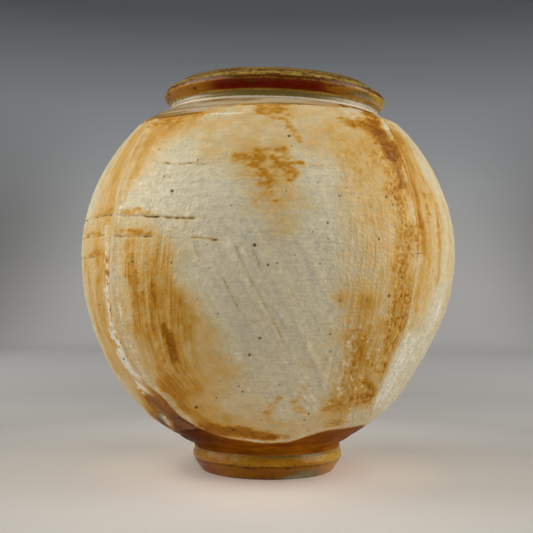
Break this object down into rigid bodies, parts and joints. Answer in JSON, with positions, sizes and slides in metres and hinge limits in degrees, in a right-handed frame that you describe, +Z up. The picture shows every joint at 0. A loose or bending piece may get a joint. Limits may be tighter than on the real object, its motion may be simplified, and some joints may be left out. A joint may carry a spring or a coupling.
{
  "type": "moon jar",
  "caption": "Round faceted stoneware jar on a low turned foot, its panels coated with white slip, with a short neck and a thick rolled rim.",
  "frame": {"origin": "middle of the foot ring's underside, on the surface the jar stands on", "axes": "+Z up through the mouth, -Y towards the front panel, +X towards the side the rim leans to"},
  "size_m": [0.2732, 0.2732, 0.2836],
  "materials": {
    "bare_stoneware": "toasted, slightly glossy bare clay with brown flashing",
    "white_slip": "semi-matt cream white slip with orange flashing, brush marks and fine pits",
    "glazed_stoneware": "glossy olive, amber and rust natural glaze"
  },
  "bodies": {
    "root": {"lower_bowl": "bare_stoneware", "upper_bowl": "bare_stoneware", "waist_luting": "bare_stoneware", "waist_coil": "bare_stoneware", "foot_ring": "glazed_stoneware", "foot_luting": "glazed_stoneware", "collar_luting": "glazed_stoneware", "neck_collar": "glazed_stoneware", "rim": "glazed_stoneware", "slip_coat_front": "white_slip", "slip_coat_right": "white_slip", "slip_coat_back": "white_slip", "slip_coat_left": "white_slip"}
  },
  "joints": []
}
